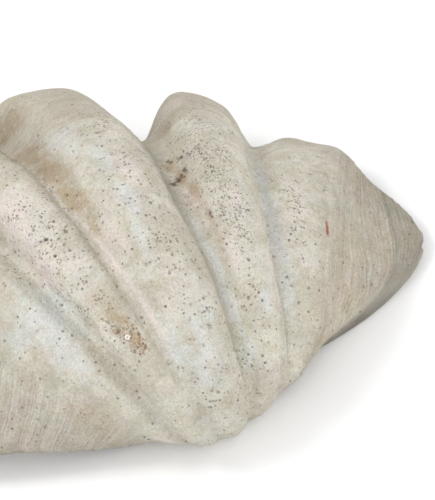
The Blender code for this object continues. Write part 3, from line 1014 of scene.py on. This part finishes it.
# The body colour, with its worn, stained and porcelain patches
colour = tint(tree, span(tree, mottle, 0.42, 0.58), CHALK, PALE)
colour = wash(colour, span(tree, blotch, 0.45, 0.70), strength=0.60, tone=BEIGE)
colour = wash(colour, mark("fresh"), strength=0.30, tone=BEIGE)
colour = wash(colour, mark("slope"), strength=0.08, tone=BEIGE)
bluish = stained("porcelain", grain=52.0, breaking=2.4)
colour = wash(colour, bluish, strength=0.72, tone=BLUISH)
# Pale pink stain patches, and a painted highlight along the ridge on fold 2
colour = wash(colour, stained("pink_and_ridge_highlight", grain=50.0, breaking=1.2), strength=0.85, tone=PINKISH)
colour = wash(colour, stained("tan", grain=80.0, breaking=2.2), strength=0.66, tone=TAN_STAIN)

# The growth lines, darker between the layers
fine_shade = times(rest_of(fine_lines), 0.34)
broad_shade = times(rest_of(broad_lines), 0.28)
band_shade = times(rest_of(bands), 0.20)
line_shade = plus(plus(fine_shade, broad_shade), band_shade)
colour = wash(colour, line_shade, strength=line_strength, tone=LINE_TONE)

# Fine grit, and soft clouds of a slightly warmer or cooler tone
GREYED = 0.60
CLOUD_RANGE, CLOUD_FLOOR = (0.30, 0.30, 0.30), (0.80, 0.80, 0.79)
# The grit is painted lighter on its bumps and darker in its dips: painted light and shade over a random
# grain
grit_painted_shade = span(tree, grit, 0.33, 0.66, 0.83, 1.10)
grey = node(tree, "ShaderNodeCombineColor")
for socket in grey.inputs:
    give(tree, socket, grit_painted_shade)
colour = tint(tree, 1.0, colour, grey.outputs[0], blend="MULTIPLY")
cast = node(tree, "ShaderNodeVectorMath", operation="MULTIPLY_ADD")
give(tree, cast.inputs[0], tint(tree, GREYED, clouds["Color"], clouds[0]))
give(tree, cast.inputs[1], CLOUD_RANGE)
give(tree, cast.inputs[2], CLOUD_FLOOR)
colour = tint(tree, 1.0, colour, cast.outputs[0], blend="MULTIPLY")
# Painted shade darkens the creases
colour = wash(colour, mark("crease_painted_shade"), strength=0.38, tone=CREASE_PAINTED_SHADE)
# Painted light lifts the shaded band along the hinge side
colour = wash(colour, mark("hinge_side_painted_light"), strength=0.60, tone=HINGE_PAINTED_LIGHT)

# Bored holes of four sizes, closer together where the shell is pitted or peppered
clusters = noise(tree, place, scale=42.0, detail=2.0)[0]
pit_mask = times(mark("pitted"), span(tree, clusters, 0.40, 0.60, 0.20, 1.45))
fine_share, middle_share, wide_share = (
    plus(times(pit_mask, pitted_share), bare_share)
    for pitted_share, bare_share in ((0.85, 0.07), (0.30, 0.02), (0.26, 0.01))
)
fine_holes = holes_of(cell=0.0040, radius=0.38, share=fine_share, ragged=0.0022)
middle_holes = holes_of(cell=0.0075, radius=0.27, share=middle_share, ragged=0.0034)
wide_holes = holes_of(cell=0.0150, radius=0.19, share=wide_share, ragged=0.0050)
holes = sums(tree, "MAXIMUM", sums(tree, "MAXIMUM", fine_holes, middle_holes), wide_holes)
holes = times(holes, rest_of(mark("lining")))
# The holes' dark and brown insides are partly brown staining and partly painted shade
hole_tone = tint(tree, span(tree, blotch, 0.42, 0.58), HOLE, BROWN_HOLE)
colour = wash(colour, holes, strength=0.80, tone=hole_tone)
# The tiny peppered holes are blackened: painted shade, partly staining
tiny_holes = holes_of(cell=0.0023, radius=0.46, share=times(mark("peppered"), 1.05), ragged=0.0016)
# Painted shade blackens the deep borings
deep = sums(tree, "MAXIMUM", times(tiny_holes, 0.80), span(tree, mark("bored_painted_shade"), 0.30, 0.75))
colour = wash(colour, deep, strength=0.90, tone=PIT_BLACK)

# Dark stains, the barnacle and the lining inside
sooty = stained("sooty", grain=240.0, breaking=2.4, sparse=0.22)
colour = wash(colour, sooty, strength=0.92, tone=SOOT)
rusty = stained("rust", grain=300.0, breaking=5.0, sparse=0.42)
colour = wash(colour, rusty, strength=0.78, tone=RUSTY)
reddened = stained("red_mark", grain=180.0, breaking=1.2, sparse=0.05)
colour = tint(tree, reddened, colour, RED_BROWN)
colour = tint(tree, mark("barnacle"), colour, BARNACLE_WHITE)
colour = tint(tree, mark("lining"), colour, tint(tree, mark("scar"), LINING, SCAR_TONE))
give(tree, skin.inputs["Base Color"], colour)

CHALK_ROUGHNESS, PORCELAIN_GLOSS, LINING_GLOSS = 0.85, 0.20, 0.42
dull = sums(tree, "SUBTRACT", CHALK_ROUGHNESS, times(bluish, PORCELAIN_GLOSS))
dull = sums(tree, "SUBTRACT", dull, times(mark("lining"), LINING_GLOSS))
give(tree, skin.inputs["Roughness"], dull)

# Relief too fine for the mesh, nearly all of it off the lining
FINE_LINE_HEIGHT, BROAD_LINE_HEIGHT = 0.00065, 0.0010
DENT_HEIGHT, GRIT_HEIGHT, YOUNG_GRIT_HEIGHT = 0.0034, 0.00036, 0.0008
HOLE_DEPTH = 0.0014
LINING_SMOOTHNESS = 0.92
fine_height = times(fine_lines, times(line_strength, FINE_LINE_HEIGHT))
broad_height = times(broad_lines, times(line_strength, BROAD_LINE_HEIGHT))
height = plus(fine_height, broad_height)
height = plus(height, times(dents, DENT_HEIGHT))
height = plus(height, times(grit, plus(times(mark("young"), YOUNG_GRIT_HEIGHT), GRIT_HEIGHT)))
height = sums(tree, "SUBTRACT", height, times(holes, HOLE_DEPTH))
height = times(height, rest_of(times(mark("lining"), LINING_SMOOTHNESS)))
bump = feed(tree, node(tree, "ShaderNodeBump"), Strength=1.0, Distance=1.0, Height=height)
give(tree, skin.inputs["Normal"], bump.outputs[0])
mesh.materials.append(shell)

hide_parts("clam_valve")
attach(valve, "root")

# The floor and the light.
# A plain white floor, a round soft lamp over the left end of the lip, two wide weak
# ones on the side of the beak, and an even white surround, as for a catalogue picture.
FLOOR_SIDE = 12.0
FLOOR_WHITE = (0.87, 0.87, 0.87, 1)
FLOOR_ROUGHNESS = 0.9
bpy.ops.mesh.primitive_plane_add(size=FLOOR_SIDE, location=(0, 0, 0))
floor = bpy.context.object
floor.name = "floor"
white = bpy.data.materials.new("white floor")
white.use_nodes = True
paint = white.node_tree.nodes["Principled BSDF"]
paint.inputs["Base Color"].default_value = FLOOR_WHITE
paint.inputs["Roughness"].default_value = FLOOR_ROUGHNESS
floor.data.materials.append(white)

# Each lamp has a place, a width in metres and a power in watts
LAMPS = {
    "key": ((-1.5, 1.1, 2.7), 1.0, 34),
    "right fill": ((2.2, -1.5, 0.45), 1.6, 22),
    "front fill": ((-1.5, -1.9, 1.2), 1.6, 11),
}
LAMP_AIM = Vector((0, 0, 0.1))
for name, (lamp_place, width, power) in LAMPS.items():
    light = bpy.data.lights.new(name, "AREA")
    light.shape = "DISK"
    light.size = width
    light.energy = power
    holder = bpy.data.objects.new(name, light)
    bpy.context.scene.collection.objects.link(holder)
    holder.location = lamp_place
    holder.rotation_euler = (LAMP_AIM - Vector(lamp_place)).to_track_quat("-Z", "Y").to_euler()

surround = bpy.data.worlds.new("white surround")
bpy.context.scene.world = surround
surround.use_nodes = True
background = surround.node_tree.nodes["Background"]
background.inputs["Color"].default_value = (1, 1, 1, 1)
background.inputs["Strength"].default_value = 1.0
bpy.context.scene.view_settings.view_transform = "Standard"

# The camera.
# It looks down on the beak's side from the height and side at which the shell was
# pictured, told by the point it looks at and its bearing, height and distance there.
CAMERA_AIM = Vector((0.1123, -0.0801, 0.1))
CAMERA_BEARING = math.radians(-103.86)
CAMERA_HEIGHT = math.radians(50.68)
CAMERA_DISTANCE = 2.392
CAMERA_ROLL = math.radians(-11.81)
SENSOR_WIDTH, FOCAL_LENGTH = 36.0, 160.05  # millimetres
level = math.cos(CAMERA_HEIGHT)
sideways, forwards = level * math.cos(CAMERA_BEARING), level * math.sin(CAMERA_BEARING)
towards_camera = Vector((sideways, forwards, math.sin(CAMERA_HEIGHT)))
lens = bpy.data.cameras.new("camera")
lens.sensor_fit = "HORIZONTAL"
lens.sensor_width = SENSOR_WIDTH
lens.lens = FOCAL_LENGTH
camera = bpy.data.objects.new("camera", lens)
bpy.context.scene.collection.objects.link(camera)
turn = (-towards_camera).to_track_quat("-Z", "Y").to_matrix() @ Matrix.Rotation(CAMERA_ROLL, 3, "Z")
camera_place = CAMERA_AIM + CAMERA_DISTANCE * towards_camera
camera.matrix_world = Matrix.Translation(camera_place) @ turn.to_4x4()
bpy.context.scene.camera = camera
